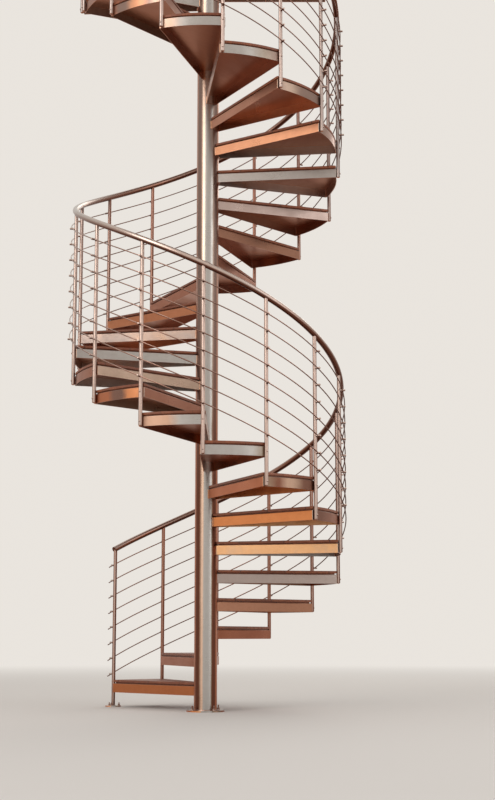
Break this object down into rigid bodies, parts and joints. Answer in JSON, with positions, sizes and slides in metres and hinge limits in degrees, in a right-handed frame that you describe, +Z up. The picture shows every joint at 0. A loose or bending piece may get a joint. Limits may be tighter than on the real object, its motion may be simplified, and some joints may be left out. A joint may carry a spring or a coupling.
{
  "type": "spiral staircase",
  "caption": "Round spiral staircase with a central tubular column, pie-shaped pan treads with wooden boards, upright posts, helical guard rods and a tubular handrail up to a landing.",
  "frame": {"origin": "centre of the base plate's underside, on the column axis", "axes": "+Z up along the column; -Y towards the front, the side seen in the picture; +X to the right; the flight climbs clockwise seen from above"},
  "size_m": [2.0626, 2.082, 7.102],
  "materials": {
    "steel": "satin stainless steel",
    "rail": "satin stainless steel tube, smoother from hands",
    "wood": "dark oiled hardwood"
  },
  "bodies": {
    "root": {"base_plate": "steel", "column": "steel", "column_cap": "steel", "newel_post": "steel", "newel_foot": "steel", "tread_01": "steel", "tread_02": "steel", "tread_03": "steel", "tread_04": "steel", "tread_05": "steel", "tread_06": "steel", "tread_07": "steel", "tread_08": "steel", "tread_09": "steel", "tread_10": "steel", "tread_11": "steel", "tread_12": "steel", "tread_13": "steel", "tread_14": "steel", "tread_15": "steel", "tread_16": "steel", "tread_17": "steel", "tread_18": "steel", "tread_19": "steel", "tread_20": "steel", "tread_21": "steel", "tread_22": "steel", "tread_23": "steel", "tread_24": "steel", "tread_25": "steel", "tread_26": "steel", "tread_27": "steel", "tread_28": "steel", "tread_29": "steel", "tread_boards_lower": "wood", "tread_boards_upper": "wood", "posts_lower": "steel", "posts_upper": "steel", "guard_rods_lower": "steel", "guard_rods_upper": "steel", "handrail_lower": "rail", "handrail_upper": "rail", "landing_frame": "steel", "landing_planks": "wood", "landing_posts": "steel", "landing_rods": "steel", "landing_handrail": "rail"}
  },
  "joints": []
}
